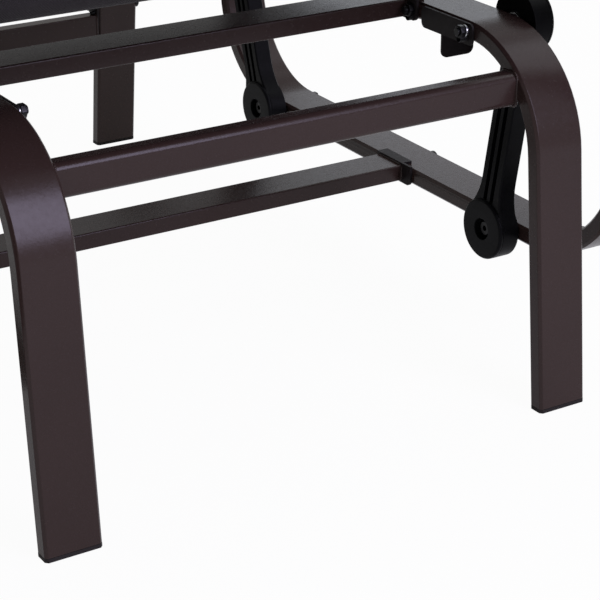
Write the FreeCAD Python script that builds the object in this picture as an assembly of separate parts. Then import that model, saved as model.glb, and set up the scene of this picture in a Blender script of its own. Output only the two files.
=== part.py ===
"""Single-seat patio glider: a base of two bent side frames, four swinging link arms,
and a sling seat that hangs between two closed side loops.
Millimetres, +Z up, the chair faces -Y, left and right as seen from the front."""
import FreeCAD, Part
import math
import os

V = FreeCAD.Vector

# Flat tube of the base side frames and the seat side loops
TUBE_WIDTH = 46.0
TUBE_THICK = 15.0
TUBE_WALL = 1.5
TUBE_CORNER = 2.2

# Base
BASE_BEND_OUTER = 99.0
BASE_HALF_INNER = 201.0
BASE_DEPTH = 808.0
BASE_HEIGHT = 304.0
LEG_SPLAY = math.radians(5.5)
PLUG_FLANGE = 3.0
PLUG_DEPTH = 22.0
PLUG_CLEAR = 0.15
PLUG_CORNER = 1.0

# Crossbars of the base
BAR_WALL = 1.2
BAR_CORNER = 1.5
FRONT_BAR_DEPTH = 20.0
FRONT_BAR_HEIGHT = 27.0
FRONT_BAR_CORNER = 6.0
FRONT_BAR_DROP = 41.0
FRONT_BAR_SETBACK = 13.0
UPPER_BAR_DEPTH = 40.0
UPPER_BAR_SETBACK = 82.0
REAR_BAR_DEPTH = 16.0
REAR_BAR_HEIGHT = 30.0
REAR_BAR_DROP = 165.0

# Hooked end brackets of the crossbars, and their bolts
PLATE = 2.5
HOOK_REACH = 9.0
HOOK_DROP = 1.5
BRACKET_FRONT = 14.0
BRACKET_REAR = 2.0
BRACKET_CORNER = 5.0
BAR_BOLT = 3.0
BAR_BOLT_HEAD = 6.5
BAR_BOLT_RISE = 3.6
BAR_BOLT_TAIL = 3.0
BAR_NUT_FLATS = 10.0
BAR_NUT_THICK = 5.0
REAR_PLATE_RISE = 16.0

# Stop brackets under the top rails, at the front pivots
STOP_BEHIND = 61.5
STOP_AHEAD = 9.0
STOP_WIDTH = 32.5
STOP_LIP = 4.0
STOP_TAB_BEHIND = 33.5
STOP_TAB_DROP = 24.0
STOP_TAB_CORNER = 6.0
STOP_PLATE = 1.8

# Four-bar linkage: arms lean in at the foot by the same angle when the seat hangs level
ARM_LENGTH = 197.0
ARM_LEAN = math.radians(13.5)
SWING_AT_REST = math.radians(3.5)
FRONT_PIVOT_INSET = 118.0
PIVOT_SPACING = 470.5

# Link arm
ARM_GAP = 25.0
ARM_SIDE_CLEAR = 2.5
BOSS_RADIUS = 27.0
WAIST_WIDTH = 27.0
WEB_THICK = 17.5
FLARE_RADIUS = 60.0
GROOVE_WIDTH = 4.6
GROOVE_DEPTH = 4.0
GROOVE_PITCH = 8.6
COVER_THICK = 4.0
COVER_BORE = 9.5
COVER_BEVEL = 1.5
SPIGOT_WALL = 1.5
SPIGOT_DEPTH = 3.0
BUSH_RADIUS = 9.0
BUSH_LENGTH = 11.0
PRESS_CLEAR = 0.05
ARM_BEVEL = 1.2

# Pivot bolts
PIVOT_BOLT = 3.0
RUNNING_CLEAR = 0.06
OPEN_PIVOT_CLEAR = 2.4
FACE_CLEAR = 0.2
HOLE_CLEAR = 0.2
PIVOT_HEAD = 6.5
PIVOT_HEAD_RISE = 5.0
HEAD_BEVEL = 0.8
SOCKET_FLATS = 5.0
SOCKET_DEPTH = 3.0
RAIL_WASHER = 8.0
SLEEVE_RADIUS = 5.2
SLEEVE_LENGTH = 3.0
PIVOT_NUT_FLATS = 10.0
PIVOT_NUT_THICK = 5.0
BOLT_TAIL = 1.5

# Seat side loops, lengths from the lower pivots when the seat hangs level
FRONT_OVERHANG = 151.8
REAR_OVERHANG = 111.0
ARM_REST_HEIGHT = 600.0
SEAT_BEND_OUTER = 112.0

# Lower cross rail of the seat
CROSS_RAIL_DEPTH = 38.0
CROSS_RAIL_BEHIND = 149.5

# Sling frame of round tube
SLING_TUBE = 12.5
SLING_WALL = 1.2
RAIL_SIDE_GAP = 23.5
SEAT_FRONT_HEIGHT = 416.0
SEAT_LENGTH = 505.0
SEAT_DROP = math.radians(5.0)
BACK_LENGTH = 520.0
BACK_RECLINE = math.radians(18.0)
KNEE_RADIUS = 100.0
SPREADER_TUBE = 9.5
SPREADER_BOW = 45.0
SPREADER_BEND = 40.0
SPREADER_INSET = 40.0
COPE_GAP = 0.1
SEAT_SPREADER_AT = 300.0
BACK_SPREADER_AT = 330.0
END_CAP_RISE = 4.0
END_CAP_BEVEL = 2.5

# Bolts that hold the sling frame to the side loops
FRAME_BOLT = 4.0
FRAME_HEAD = 8.0
FRAME_HEAD_RISE = 4.5
FRAME_BOLT_GRIP = 8.5
INSERT_LENGTH = 28.0
SPACER_RADIUS = 9.0

# Sling cloth
CLOTH = 1.4
CLOTH_CLEAR = 0.3
CLOTH_RISE = 9.0
CLOTH_SAG = 12.0
CLOTH_EDGE_SAG = 0.3
CLOTH_EASE = 110.0
KNEE_STEPS = 6
HEM_GAP = 30.0
WRAP_INSET = 18.0
WRAP_END_GAP = 3.0

X_AXIS = V(1, 0, 0)
Y_AXIS = V(0, 1, 0)
ORIGIN = V(0, 0, 0)

# Places across the chair, right side
base_outer = BASE_HALF_INNER + TUBE_WIDTH
base_mid = BASE_HALF_INNER + TUBE_WIDTH / 2
seat_inner = base_outer + ARM_GAP
seat_outer = seat_inner + TUBE_WIDTH
seat_mid = seat_inner + TUBE_WIDTH / 2
arm_in = base_outer + ARM_SIDE_CLEAR
arm_out = seat_inner - ARM_SIDE_CLEAR
rail_half = seat_inner - RAIL_SIDE_GAP - SLING_TUBE

# Places in the side view, as (0, y, z)
base_bend = BASE_BEND_OUTER - TUBE_THICK / 2
seat_bend = SEAT_BEND_OUTER - TUBE_THICK / 2
pivot_rise = BASE_HEIGHT - TUBE_THICK / 2
front_top = V(0, FRONT_PIVOT_INSET - BASE_DEPTH / 2, pivot_rise)
rear_top = V(0, front_top.y + PIVOT_SPACING, pivot_rise)
rail_under = BASE_HEIGHT - TUBE_THICK


def toward(angle):
    """Unit vector in the side view, its angle counted from straight back, up positive."""
    return V(0, math.cos(angle), math.sin(angle))


def arm_foot(top, lean):
    """Lower pivot of an arm whose foot lies behind its top by the lean."""
    return top + V(0, math.sin(lean), -math.cos(lean)) * ARM_LENGTH


# The seat hangs level at front_level and rear_level, and rests swung a little forward
front_level = arm_foot(front_top, ARM_LEAN)
rear_level = arm_foot(rear_top, -ARM_LEAN)
coupler = rear_level.y - front_level.y
front_lean = ARM_LEAN - SWING_AT_REST
front_low = arm_foot(front_top, front_lean)


def rear_foot_at_rest():
    """Where the rear arm's circle meets the seat's circle about the front lower pivot."""
    line = rear_top - front_low
    span = line.Length
    along = (coupler ** 2 - ARM_LENGTH ** 2 + span ** 2) / (2 * span)
    aside = math.sqrt(coupler ** 2 - along ** 2)
    line.normalize()
    return front_low + line * along + V(0, line.z, -line.y) * aside


rear_low = rear_foot_at_rest()
rear_lean = math.atan2(rear_low.y - rear_top.y, rear_top.z - rear_low.z)
seat_tilt = math.atan2(rear_low.z - front_low.z, rear_low.y - front_low.y)


def hang(shape):
    """Moves a shape of the level seat to the rest pose."""
    moved = shape.copy()
    moved.rotate(front_level, X_AXIS, math.degrees(seat_tilt))
    moved.translate(front_low - front_level)
    return moved


def mirrored(shape):
    return shape.mirror(ORIGIN, X_AXIS)


def both(shape):
    """The right-hand shape and its left-hand twin."""
    return [mirrored(shape), shape]


# Shared forms

def rounded_path(points, radius, closed=False):
    """Straight runs through the points with every corner rounded to the same radius."""
    count = len(points)
    start = (points[-1] + points[0]) * 0.5 if closed else points[0]
    finish = start if closed else points[-1]
    corners = range(count) if closed else range(1, count - 1)
    cursor = start
    edges = []
    for index in corners:
        corner = points[index]
        back = (points[index - 1] - corner).normalize()
        ahead = (points[(index + 1) % count] - corner).normalize()
        half = back.getAngle(ahead) / 2
        enter = corner + back * (radius / math.tan(half))
        leave = corner + ahead * (radius / math.tan(half))
        inward = (back + ahead).normalize()
        middle = corner + inward * (radius / math.sin(half) - radius)
        if (enter - cursor).Length > 1e-6:
            edges.append(Part.makeLine(cursor, enter))
        edges.append(Part.Arc(enter, middle, leave).toShape())
        cursor = leave
    if (finish - cursor).Length > 1e-6:
        edges.append(Part.makeLine(cursor, finish))
    return Part.Wire(edges)


def rounded_rect(centre, across, up, width, height, corner):
    side = across * (width / 2)
    rise = up * (height / 2)
    points = [centre + side + rise, centre - side + rise, centre - side - rise, centre + side - rise]
    return rounded_path(points, corner, closed=True)


def inset_points(points, inset, closed=False):
    """The points of a path whose bends all turn one way, moved inward by the inset."""
    count = len(points)
    moved = []
    for index, point in enumerate(points):
        if closed or 0 < index < count - 1:
            back = (points[index - 1] - point).normalize()
            ahead = (points[(index + 1) % count] - point).normalize()
            half = back.getAngle(ahead) / 2
            moved.append(point + (back + ahead).normalize() * (inset / math.sin(half)))
        else:
            near = points[1] if index == 0 else points[-2]
            far = points[2] if index == 0 else points[-3]
            along = (near - point).normalize()
            inward = far - near
            moved.append(point + (inward - along * inward.dot(along)).normalize() * inset)
    return moved


def bent_band(points, bend, thick, width, closed):
    """Solid strip bent along the points in the side view, its width along X."""
    run = V(width, 0, 0)
    shift = V(-width / 2, 0, 0)
    wires = []
    for inset in (-thick / 2, thick / 2):
        corners = [point + shift for point in inset_points(points, inset, closed)]
        wires.append(rounded_path(corners, bend - inset, closed))
    if closed:
        outer, inner = [Part.Face(wire).extrude(run) for wire in wires]
        return outer.cut(inner)
    ends = []
    for index in (0, -1):
        outer, inner = [wire.OrderedVertexes[index].Point for wire in wires]
        ends.append(Part.makeLine(outer, inner))
    outline = Part.Wire(Part.__sortEdges__(wires[0].Edges + wires[1].Edges + ends))
    return Part.Face(outline).extrude(run)


def flat_tube(points, bend, closed=False):
    """Outside and cavity of the flat tube bent along the points."""
    outside = bent_band(points, bend, TUBE_THICK, TUBE_WIDTH, closed)
    edge_at = TUBE_WIDTH / 2 - 0.01
    outside = bevelled_where(outside, TUBE_CORNER, lambda middle: abs(middle.x - points[0].x) > edge_at)
    cavity = bent_band(points, bend, TUBE_THICK - 2 * TUBE_WALL, TUBE_WIDTH - 2 * TUBE_WALL, closed)
    return outside, cavity


def round_tube(points, bend, radius):
    """Solid bar of a round section along the points."""
    along = (points[1] - points[0]).normalize()
    profile = Part.Face(Part.Wire(Part.makeCircle(radius, points[0], along)))
    return rounded_path(points, bend).makePipe(profile)


def eight_sided(points, bend, radius):
    """Solid bar of an eight-sided section along the points, its flats at the radius."""
    along = (points[1] - points[0]).normalize()
    up = along.cross(X_AXIS)
    reach = radius / math.cos(math.pi / 8)
    corners = []
    for step in range(9):
        turn = (step + 0.5) * math.pi / 4
        corners.append(points[0] + (X_AXIS * math.cos(turn) + up * math.sin(turn)) * reach)
    return rounded_path(points, bend).makePipe(Part.Face(Part.makePolygon(corners)))


def bar_across(x0, x1, centre, depth, height, corner):
    """Hollow bar along X with a rounded section."""
    place = V(x0, centre.y, centre.z)
    run = V(x1 - x0, 0, 0)
    up = V(0, 0, 1)
    outside = Part.Face(rounded_rect(place, Y_AXIS, up, depth, height, corner)).extrude(run)
    inner = max(corner - BAR_WALL, 0.4)
    hollow = rounded_rect(place, Y_AXIS, up, depth - 2 * BAR_WALL, height - 2 * BAR_WALL, inner)
    return outside.cut(Part.Face(hollow).extrude(run))


def rod(radius, x0, x1, place):
    return Part.makeCylinder(radius, abs(x1 - x0), V(min(x0, x1), place.y, place.z), X_AXIS)


def ring(outer, inner, x0, x1, place):
    return rod(outer, x0, x1, place).cut(rod(inner, x0, x1, place))


def box(x0, x1, y0, y1, z0, z1):
    return Part.makeBox(x1 - x0, y1 - y0, z1 - z0, V(x0, y0, z0))


def hexagon(flats, x0, x1, place):
    corner = flats / math.sqrt(3)
    points = []
    for step in range(7):
        points.append(V(min(x0, x1), place.y, place.z) + toward(step * math.pi / 3) * corner)
    return Part.Face(Part.makePolygon(points)).extrude(V(abs(x1 - x0), 0, 0))


def rounded_where(shape, radius, wanted):
    """Rounds the edges whose middle passes the test."""
    edges = [edge for edge in shape.Edges if wanted(edge.CenterOfMass)]
    return shape.makeFillet(radius, edges)


def bevelled_where(shape, size, wanted):
    """Bevels the edges whose middle passes the test."""
    edges = [edge for edge in shape.Edges if wanted(edge.CenterOfMass)]
    return shape.makeChamfer(size, edges)


def socket_bolt(seat, tip, place, shank, head, rise):
    """Bolt along X: the head stands on the seat plane, away from the tip."""
    away = 1 if seat > tip else -1
    top = seat + away * rise
    cap = rod(head, seat, top, place)
    cap = bevelled_where(cap, HEAD_BEVEL, lambda middle: abs(middle.x - top) < 0.01)
    socket = hexagon(SOCKET_FLATS, top - away * SOCKET_DEPTH, top, place)
    return cap.fuse(rod(shank, seat, tip, place)).cut(socket)


def nut(start, thick, away, flats, bolt, place):
    end = start + away * thick
    return hexagon(flats, start, end, place).cut(rod(bolt + PRESS_CLEAR, start, end, place))


# Base

leg_tan = math.tan(LEG_SPLAY)
leg_foot_y = -BASE_DEPTH / 2 + TUBE_THICK / 2 / math.cos(LEG_SPLAY)
bend_centre = V(0, 0, BASE_HEIGHT - BASE_BEND_OUTER)
bend_centre.y = leg_foot_y + bend_centre.z * leg_tan + base_bend / math.cos(LEG_SPLAY)


def front_leg_y(height):
    """Middle of the front leg at a height, on its straight or in its bend."""
    above = height - bend_centre.z
    if above < base_bend * math.sin(LEG_SPLAY):
        return leg_foot_y + height * leg_tan
    return bend_centre.y - math.sqrt(base_bend ** 2 - above ** 2)


def drilled(shape, holes):
    for hole in holes:
        shape = shape.cut(hole)
    return shape


front_rise = BASE_HEIGHT - FRONT_BAR_DROP
rear_rise = BASE_HEIGHT - REAR_BAR_DROP
front_bar = V(0, front_leg_y(front_rise) + FRONT_BAR_SETBACK, front_rise)
upper_bar = V(0, front_top.y + UPPER_BAR_SETBACK + UPPER_BAR_DEPTH / 2, pivot_rise)
rear_bar = V(0, -front_leg_y(rear_rise), rear_rise)
upper_bolt = V(0, upper_bar.y - UPPER_BAR_DEPTH / 2 - BRACKET_FRONT / 2, pivot_rise)
rear_bolt_rise = rear_rise + REAR_BAR_HEIGHT / 2 + REAR_PLATE_RISE / 2
rear_bolt = V(0, -front_leg_y(rear_bolt_rise), rear_bolt_rise)


def base_side():
    """Right side frame and the two plugs in its leg ends."""
    below = -2 * PLUG_FLANGE
    corner_y = leg_foot_y + pivot_rise * leg_tan
    points = []
    for sign in (1, -1):
        foot = V(base_mid, sign * (leg_foot_y + below * leg_tan), below)
        points.append([foot, V(base_mid, sign * corner_y, pivot_rise)])
    outside, cavity = flat_tube([points[0][0], points[0][1], points[1][1], points[1][0]], base_bend)
    reach = BASE_DEPTH
    above = box(0, reach, -reach, reach, PLUG_FLANGE, reach)
    frame = outside.common(above).cut(cavity)
    holes = []
    for top in (front_top, rear_top):
        holes.append(rod(PIVOT_BOLT + HOLE_CLEAR, BASE_HALF_INNER, base_outer, top))
    for place in (upper_bolt, rear_bolt):
        holes.append(rod(BAR_BOLT + HOLE_CLEAR, BASE_HALF_INNER, base_outer, place))
    flanges = outside.common(box(0, reach, -reach, reach, 0, PLUG_FLANGE))
    inner = TUBE_WALL + PLUG_CLEAR
    legs = []
    for foot, corner in points:
        along = (corner - foot).normalize()
        section = rounded_rect(foot, X_AXIS, along.cross(X_AXIS), TUBE_WIDTH - 2 * inner,
                               TUBE_THICK - 2 * inner, PLUG_CORNER)
        legs.append(Part.Face(section).extrude(along * (4 * PLUG_DEPTH)))
    stem_slab = box(0, reach, -reach, reach, PLUG_FLANGE, PLUG_FLANGE + PLUG_DEPTH)
    plugs = []
    for flange in flanges.Solids:
        stem = legs[0] if flange.CenterOfMass.y < 0 else legs[1]
        plugs.append(flange.fuse(stem.common(stem_slab)))
    return drilled(frame, holes), plugs


def hook_bracket(face, front, hook_front, rear, top):
    """End plate on the inner face of a rail, hooked over the rail's top edge."""
    low = top - TUBE_THICK - HOOK_DROP
    plate = box(face - PLATE, face, front, rear, low, top + PLATE)
    plate = rounded_where(plate, BRACKET_CORNER, lambda middle: middle.z < low + 0.01
                          and min(abs(middle.y - front), abs(middle.y - rear)) < 0.01)
    hook = box(face - PLATE / 2, face + HOOK_REACH, hook_front, rear, top, top + PLATE)
    return plate.fuse(hook)


def upper_bracket():
    front = upper_bar.y - UPPER_BAR_DEPTH / 2 - BRACKET_FRONT
    rear = upper_bar.y + UPPER_BAR_DEPTH / 2 + BRACKET_REAR
    bracket = hook_bracket(BASE_HALF_INNER, front, front + BRACKET_CORNER, rear, BASE_HEIGHT)
    return bracket.cut(rod(BAR_BOLT + HOLE_CLEAR, 0, BASE_HALF_INNER, upper_bolt))


def rear_bracket():
    """End plate of the rear crossbar, set along the splayed leg and bolted above the bar."""
    low = rear_bar.z - REAR_BAR_HEIGHT / 2
    high = rear_bar.z + REAR_BAR_HEIGHT / 2 + REAR_PLATE_RISE
    middle = V(BASE_HALF_INNER - PLATE, -front_leg_y((low + high) / 2), (low + high) / 2)
    up = V(0, -math.sin(LEG_SPLAY), math.cos(LEG_SPLAY))
    across = up.cross(X_AXIS)
    outline = rounded_rect(middle, across, up, TUBE_THICK, high - low, BRACKET_CORNER)
    plate = Part.Face(outline).extrude(V(PLATE, 0, 0))
    return plate.cut(rod(BAR_BOLT + HOLE_CLEAR, 0, BASE_HALF_INNER, rear_bolt))


def bar_fasteners(place, outer, inner):
    """Bolt through a rail from its outer face, and the nut on the bracket's plate."""
    nut_start = inner - PLATE
    tip = nut_start - BAR_NUT_THICK - BAR_BOLT_TAIL
    bolt = socket_bolt(outer, tip, place, BAR_BOLT, BAR_BOLT_HEAD, BAR_BOLT_RISE)
    return bolt, nut(nut_start, BAR_NUT_THICK, -1, BAR_NUT_FLATS, BAR_BOLT, place)


def stop_bracket():
    """Bent plate at a front pivot: side plate, floor under the rail and a hanging tab."""
    face = BASE_HALF_INNER
    front = front_top.y - STOP_AHEAD
    rear = front_top.y + STOP_BEHIND
    tab = front_top.y + STOP_TAB_BEHIND
    low = rail_under - STOP_LIP
    side = box(face - STOP_PLATE, face, front, rear, low, pivot_rise + BAR_BOLT_HEAD)
    side = rounded_where(side, BRACKET_CORNER, lambda middle: abs(middle.x - face + STOP_PLATE / 2) < 0.01
                         and min(abs(middle.y - front), abs(middle.y - rear)) < 0.01)
    floor = box(face - STOP_PLATE / 2, face + STOP_WIDTH - STOP_PLATE, tab - STOP_PLATE, rear,
                rail_under - STOP_PLATE, rail_under)
    drop = rail_under - STOP_TAB_DROP
    hanging = box(face - STOP_PLATE, face + STOP_WIDTH - STOP_PLATE, tab - STOP_PLATE, tab,
                  drop, rail_under - STOP_PLATE / 2)
    hanging = rounded_where(hanging, STOP_TAB_CORNER, lambda middle: middle.z < drop + 0.01
                            and abs(middle.y - tab + STOP_PLATE / 2) < 0.01)
    whole = side.fuse(floor).fuse(hanging).removeSplitter()
    return whole.cut(rod(PIVOT_BOLT + HOLE_CLEAR, 0, face, front_top))


# Link arms, built hanging straight down from a top pivot at y = 0, z = 0

ARM_HANG = V(0, 0, -ARM_LENGTH)
boss_inner_end = arm_in + COVER_THICK
boss_outer_end = arm_out - COVER_THICK


def arm_outline(x):
    """Two boss rounds joined by a straight waist with flared ends."""
    waist = WAIST_WIDTH / 2
    reach = waist + FLARE_RADIUS
    drop = math.sqrt((BOSS_RADIUS + FLARE_RADIUS) ** 2 - reach ** 2)

    def flare(side, end):
        centre = V(x, side * reach, -drop if end else drop - ARM_LENGTH)
        boss = V(x, 0, 0 if end else -ARM_LENGTH)
        to_boss = (boss - centre).normalize()
        to_waist = V(0, -side, 0)
        between = (to_boss + to_waist).normalize()
        return [centre + way * FLARE_RADIUS for way in (to_boss, between, to_waist)]

    right_up = flare(1, True)
    left_up = flare(-1, True)
    right_down = flare(1, False)
    left_down = flare(-1, False)
    return Part.Wire([
        Part.Arc(right_up[0], V(x, 0, BOSS_RADIUS), left_up[0]).toShape(),
        Part.Arc(*left_up).toShape(),
        Part.makeLine(left_up[2], left_down[2]),
        Part.Arc(*reversed(left_down)).toShape(),
        Part.Arc(left_down[0], V(x, 0, -ARM_LENGTH - BOSS_RADIUS), right_down[0]).toShape(),
        Part.Arc(*right_down).toShape(),
        Part.makeLine(right_down[2], right_up[2]),
        Part.Arc(*reversed(right_up)).toShape(),
    ])


def arm_body():
    """Arm without covers: a web flush with the seat-side ends of the bosses, and the two bosses."""
    web_out = arm_out
    web_in = web_out - WEB_THICK
    body = Part.Face(arm_outline(web_in)).extrude(V(WEB_THICK, 0, 0))
    body = bevelled_where(body, ARM_BEVEL, lambda middle: min(middle.x - web_in, web_out - middle.x) < 0.01)
    for side in (-1, 1):
        left = side * GROOVE_PITCH / 2 - GROOVE_WIDTH / 2
        for near, far in ((web_in, web_in + GROOVE_DEPTH), (web_out - GROOVE_DEPTH, web_out)):
            body = body.cut(box(near, far, left, left + GROOVE_WIDTH, BOSS_RADIUS - ARM_LENGTH, -BOSS_RADIUS))
    upper_boss = rod(BOSS_RADIUS, arm_in, boss_outer_end, ORIGIN)
    lower_boss = rod(BOSS_RADIUS, boss_inner_end, arm_out, ARM_HANG)
    body = body.cut(rod(BOSS_RADIUS, boss_outer_end, arm_out, ORIGIN))
    body = body.cut(rod(BOSS_RADIUS, arm_in, boss_inner_end, ARM_HANG))
    body = body.fuse(upper_boss).fuse(lower_boss)
    bore = BUSH_RADIUS + PRESS_CLEAR
    seat = COVER_BORE + SPIGOT_WALL + PRESS_CLEAR
    sink = SPIGOT_DEPTH + PRESS_CLEAR
    for place in (ORIGIN, ARM_HANG):
        body = body.cut(rod(bore, arm_in, arm_out, place))
    body = body.cut(rod(seat, boss_outer_end - sink, boss_outer_end, ORIGIN))
    return body.cut(rod(seat, boss_inner_end, boss_inner_end + sink, ARM_HANG))


def arm_covers():
    """Round covers on the bolt-head sides, each with a spigot in the boss."""
    covers = []
    for start, away, place in ((boss_outer_end, 1, ORIGIN), (boss_inner_end, -1, ARM_HANG)):
        end = start + away * COVER_THICK
        disc = rod(BOSS_RADIUS, start, end, place)
        disc = bevelled_where(disc, COVER_BEVEL, lambda middle: abs(middle.x - end) < 0.01)
        spigot = rod(COVER_BORE + SPIGOT_WALL, start - away * SPIGOT_DEPTH, start, place)
        bore = rod(COVER_BORE, start - away * SPIGOT_DEPTH, end, place)
        covers.append(disc.fuse(spigot).cut(bore))
    return covers


def arm_bushes(lower_clear):
    upper = ring(BUSH_RADIUS, PIVOT_BOLT + RUNNING_CLEAR, arm_in, arm_in + BUSH_LENGTH, ORIGIN)
    lower = ring(BUSH_RADIUS, PIVOT_BOLT + lower_clear, arm_out - BUSH_LENGTH, arm_out, ARM_HANG)
    return [upper, lower]


def swung(shape, lean, top):
    """Leans a hanging arm piece and moves it to its top pivot."""
    moved = shape.copy()
    moved.rotate(ORIGIN, X_AXIS, math.degrees(lean))
    moved.translate(top)
    return moved


# Pivot hardware

def upper_pivot(top):
    """Bolt, washer, sleeve and nut of an upper pivot, from the arm inward through the rail."""
    head_seat = arm_in + BUSH_LENGTH + FACE_CLEAR
    plate = STOP_PLATE if top is front_top else 0
    sleeve_start = BASE_HALF_INNER - plate
    nut_start = sleeve_start - SLEEVE_LENGTH
    tip = nut_start - PIVOT_NUT_THICK - BOLT_TAIL
    bolt = socket_bolt(head_seat, tip, top, PIVOT_BOLT, PIVOT_HEAD, PIVOT_HEAD_RISE)
    hole = PIVOT_BOLT + PRESS_CLEAR
    washer = ring(RAIL_WASHER, hole, base_outer, arm_in - FACE_CLEAR, top)
    sleeve = ring(SLEEVE_RADIUS, hole, nut_start, sleeve_start, top)
    return bolt, washer, sleeve, nut(nut_start, PIVOT_NUT_THICK, -1, PIVOT_NUT_FLATS, PIVOT_BOLT, top)


def lower_pivot(low):
    """Bolt, washer and nut of a lower pivot, from the arm outward through the seat's side loop."""
    head_seat = arm_out - BUSH_LENGTH - FACE_CLEAR
    tip = seat_outer + PIVOT_NUT_THICK
    bolt = socket_bolt(head_seat, tip, low, PIVOT_BOLT, PIVOT_HEAD, PIVOT_HEAD_RISE)
    hole = PIVOT_BOLT + PRESS_CLEAR
    washer = ring(RAIL_WASHER, hole, arm_out + FACE_CLEAR, seat_inner, low)
    return bolt, washer, nut(seat_outer, PIVOT_NUT_THICK, 1, PIVOT_NUT_FLATS, PIVOT_BOLT, low)


# Seat, built hanging level

loop_front = front_level.y - FRONT_OVERHANG + TUBE_THICK / 2
loop_rear = rear_level.y + REAR_OVERHANG - TUBE_THICK / 2
loop_low = front_level.z
loop_high = ARM_REST_HEIGHT - TUBE_THICK / 2
cross_rail = V(0, front_level.y + CROSS_RAIL_BEHIND + CROSS_RAIL_DEPTH / 2, loop_low)

# Sling rail in the side view: seat run, knee bend, back run
rail_front = V(0, loop_front, SEAT_FRONT_HEIGHT)
back_heading = math.pi / 2 - BACK_RECLINE
rail_knee = rail_front + toward(-SEAT_DROP) * SEAT_LENGTH
rail_top = rail_knee + toward(back_heading) * BACK_LENGTH
knee_turn = back_heading + SEAT_DROP
knee_run = KNEE_RADIUS * math.tan(knee_turn / 2)


def back_mount():
    """Point where the back run crosses the middle line of the side loop's upper rear bend."""
    bend = V(0, loop_rear - seat_bend, loop_high - seat_bend)
    way = toward(back_heading)
    offset = rail_knee - bend
    half = offset.dot(way)
    root = half ** 2 - offset.dot(offset) + seat_bend ** 2
    return rail_knee + way * (math.sqrt(root) - half)


rear_mount = back_mount()


def seat_loop():
    """Right side loop: lower rail, posts and arm rest in one bent tube."""
    points = []
    for y, heights in ((loop_front, (loop_high, loop_low)), (loop_rear, (loop_low, loop_high))):
        points += [V(seat_mid, y, z) for z in heights]
    outside, cavity = flat_tube(points, seat_bend, closed=True)
    holes = []
    for place in (front_level, rear_level):
        holes.append(rod(PIVOT_BOLT + HOLE_CLEAR, seat_inner, seat_outer, place))
    for place in (rail_front, rear_mount):
        holes.append(rod(FRAME_BOLT + HOLE_CLEAR, seat_inner, seat_outer, place))
    holes.append(rod(BAR_BOLT + HOLE_CLEAR, seat_inner, seat_outer, cross_rail))
    return drilled(outside.cut(cavity), holes)


def cross_bracket():
    rail_face = cross_rail.y - CROSS_RAIL_DEPTH / 2
    rear = cross_rail.y + CROSS_RAIL_DEPTH / 2 + BRACKET_REAR
    bracket = hook_bracket(seat_inner, rail_face - BRACKET_FRONT, rail_face, rear, loop_low + TUBE_THICK / 2)
    return bracket.cut(rod(BAR_BOLT + HOLE_CLEAR, 0, seat_inner, cross_rail))


def rail_run(x, gap, radius, form=round_tube):
    """Bar along the sling rail, its ends held back by the gap."""
    points = [rail_front + toward(-SEAT_DROP) * gap, rail_knee, rail_top - toward(back_heading) * gap]
    return form([point + V(x, 0, 0) for point in points], KNEE_RADIUS, radius)


def spreader_points(place, bow):
    """Bowed tube between the two rails at a place on them, dipping by the bow vector."""
    inset = rail_half - SPREADER_INSET
    return [place + V(-rail_half, 0, 0), place + bow + V(-inset, 0, 0),
            place + bow + V(inset, 0, 0), place + V(rail_half, 0, 0)]


seat_spreader = spreader_points(rail_front + toward(-SEAT_DROP) * SEAT_SPREADER_AT, V(0, 0, -SPREADER_BOW))
back_spreader = spreader_points(rail_knee + toward(back_heading) * BACK_SPREADER_AT,
                                toward(back_heading - math.pi / 2) * SPREADER_BOW)


def spreader(points, rails):
    """Bowed tube with its ends coped to the rails."""
    bore = round_tube(points, SPREADER_BEND, SPREADER_TUBE - SLING_WALL)
    return largest(drilled(round_tube(points, SPREADER_BEND, SPREADER_TUBE), [bore] + rails))


def largest(shape):
    return max(shape.Solids, key=lambda solid: solid.Volume)


def sling_rail(front_skin, top_skin):
    """Right sling rail, coped to the front and top tubes and closed by them."""
    bore = rail_run(rail_half, 0, SLING_TUBE - SLING_WALL)
    hole = rod(FRAME_BOLT + HOLE_CLEAR, rail_half, seat_inner, rear_mount)
    return largest(drilled(rail_run(rail_half, 0, SLING_TUBE), [bore, front_skin, top_skin, hole]))


def back_spacer():
    """Spacer between the back run and the side loop, saddled on the rail."""
    body = ring(SPACER_RADIUS, FRAME_BOLT + HOLE_CLEAR, rail_half, seat_inner, rear_mount)
    return largest(body.cut(rail_run(rail_half, 0, SLING_TUBE)))


def frame_bolt(place):
    tip = rail_half + SLING_TUBE - FRAME_BOLT_GRIP
    return socket_bolt(seat_outer, tip, place, FRAME_BOLT, FRAME_HEAD, FRAME_HEAD_RISE)


def end_cap():
    """Plug in an open end of the top tube, with a low domed head."""
    start = rail_half + SLING_TUBE
    head = rod(SLING_TUBE, start, start + END_CAP_RISE, rail_top)
    head = bevelled_where(head, END_CAP_BEVEL, lambda middle: middle.x > start + END_CAP_RISE - 0.01)
    return head.fuse(rod(SLING_TUBE - SLING_WALL - PLUG_CLEAR, start - PLUG_DEPTH / 2, start, rail_top))


# Sling cloth

cloth_hold = math.sqrt((SLING_TUBE + CLOTH_CLEAR + CLOTH / 2) ** 2 - CLOTH_RISE ** 2)


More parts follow.
